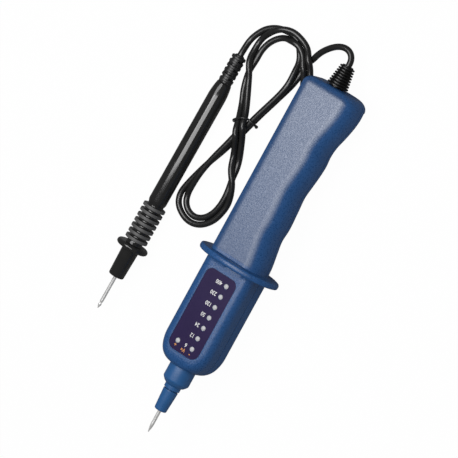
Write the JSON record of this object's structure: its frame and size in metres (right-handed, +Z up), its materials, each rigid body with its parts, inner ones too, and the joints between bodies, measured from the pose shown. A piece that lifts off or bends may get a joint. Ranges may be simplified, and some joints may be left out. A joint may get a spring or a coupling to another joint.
{
  "type": "two-pole voltage tester",
  "caption": "Hand-held two-pole voltage tester: blue hand unit with LED display, finger guard and needle tip, tied by a thin folded cable to a slim black probe with its own guard.",
  "frame": {"origin": "middle of the floor rectangle under the hand unit and the probe, on the surface that they lie on", "axes": "+Y runs along the hand unit from its needle tip to its cable end, +Z is up and the display faces up, +X is to the right seen from above with the needle tip towards the viewer"},
  "size_m": [0.1034, 0.2397, 0.0378],
  "materials": {
    "blue_shell": "fine spark-eroded texture",
    "blue_nose": "satin",
    "label_film": "satin film",
    "led_lens": "moulded lens",
    "needle_steel": "nickel plated",
    "brass": "stamped",
    "board": "solder mask",
    "black_component": "moulded",
    "resistor": "lacquer",
    "can": "can",
    "screw_steel": "zinc plated",
    "boot_rubber": "satin",
    "black_plastic": "satin",
    "cable": "glossy sheath",
    "tie": "glossy"
  },
  "bodies": {
    "root": {"front_shell": "blue_shell", "back_shell": "blue_shell", "nose_cone": "blue_nose", "tip_sleeve": "blue_nose", "tip_needle": "needle_steel", "tip_contact": "brass", "display_label": "label_film", "led_400v": "led_lens", "led_230v": "led_lens", "led_120v": "led_lens", "led_50v": "led_lens", "led_24v": "led_lens", "led_12v": "led_lens", "led_minus": "led_lens", "led_plus": "led_lens", "circuit_board": "board", "comparator_chip": "black_component", "divider_resistors": "black_component", "rectifier_diodes": "black_component", "filter_capacitor": "can", "series_resistor_a": "resistor", "series_resistor_b": "resistor", "housing_screws": "screw_steel", "strain_relief": "boot_rubber", "inner_lead": "cable", "probe_handle": "black_plastic", "probe_needle": "needle_steel", "probe_solder_cup": "brass", "probe_boot": "boot_rubber", "probe_inner_lead": "cable", "cord_lead_main": "cable", "cord_hank": "cable", "cord_lead_probe": "cable", "cord_tie": "tie"}
  },
  "joints": []
}
